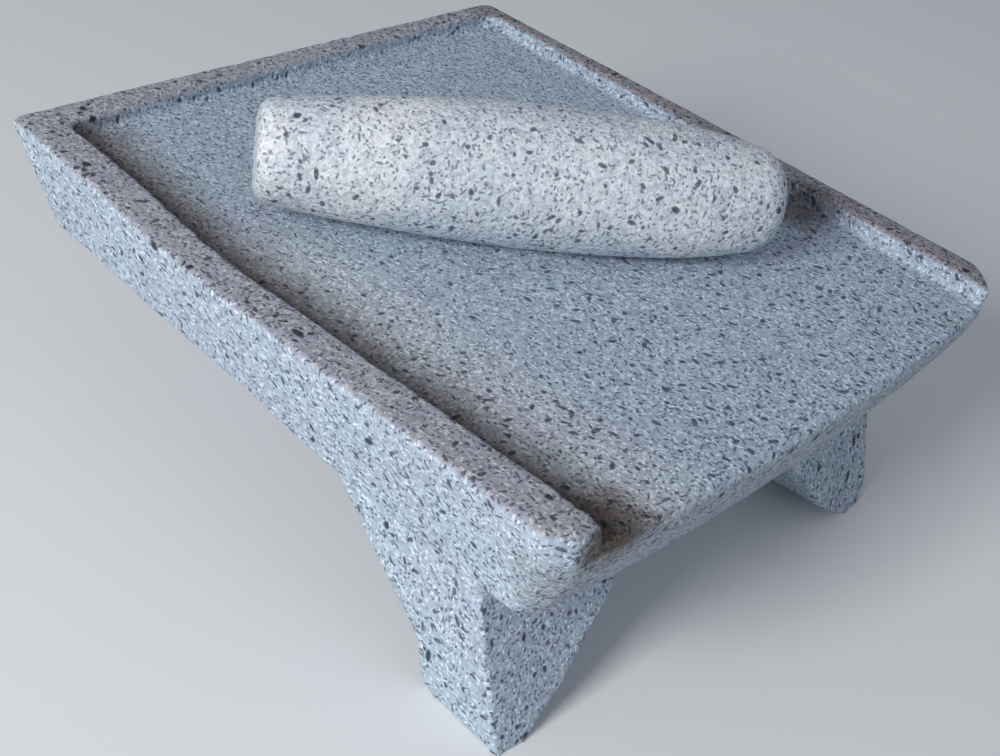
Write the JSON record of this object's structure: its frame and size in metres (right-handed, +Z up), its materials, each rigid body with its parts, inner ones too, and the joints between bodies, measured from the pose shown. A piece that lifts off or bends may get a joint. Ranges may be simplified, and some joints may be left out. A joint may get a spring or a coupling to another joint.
{
  "type": "saddle quern stone with handstone",
  "caption": "Carved stone grinding slab: flat tray with a raised rim open at the front, standing on legs cut from the same block, with a loose tapering handstone lying across it.",
  "frame": {"origin": "on the ground, under the centre of the bounding box", "axes": "+Z up, -Y out of the tray's open front, +X to the right for someone who looks from the open front towards the rear"},
  "size_m": [0.3436, 0.369, 0.1984],
  "materials": {
    "quern_granite": "pecked, matt, speckled with dark grains, slightly smoother on the grinding floor",
    "handstone_granite": "pecked, matt, paler than the slab"
  },
  "bodies": {
    "root": {"quern_stone": "quern_granite", "handstone": "handstone_granite"}
  },
  "joints": []
}
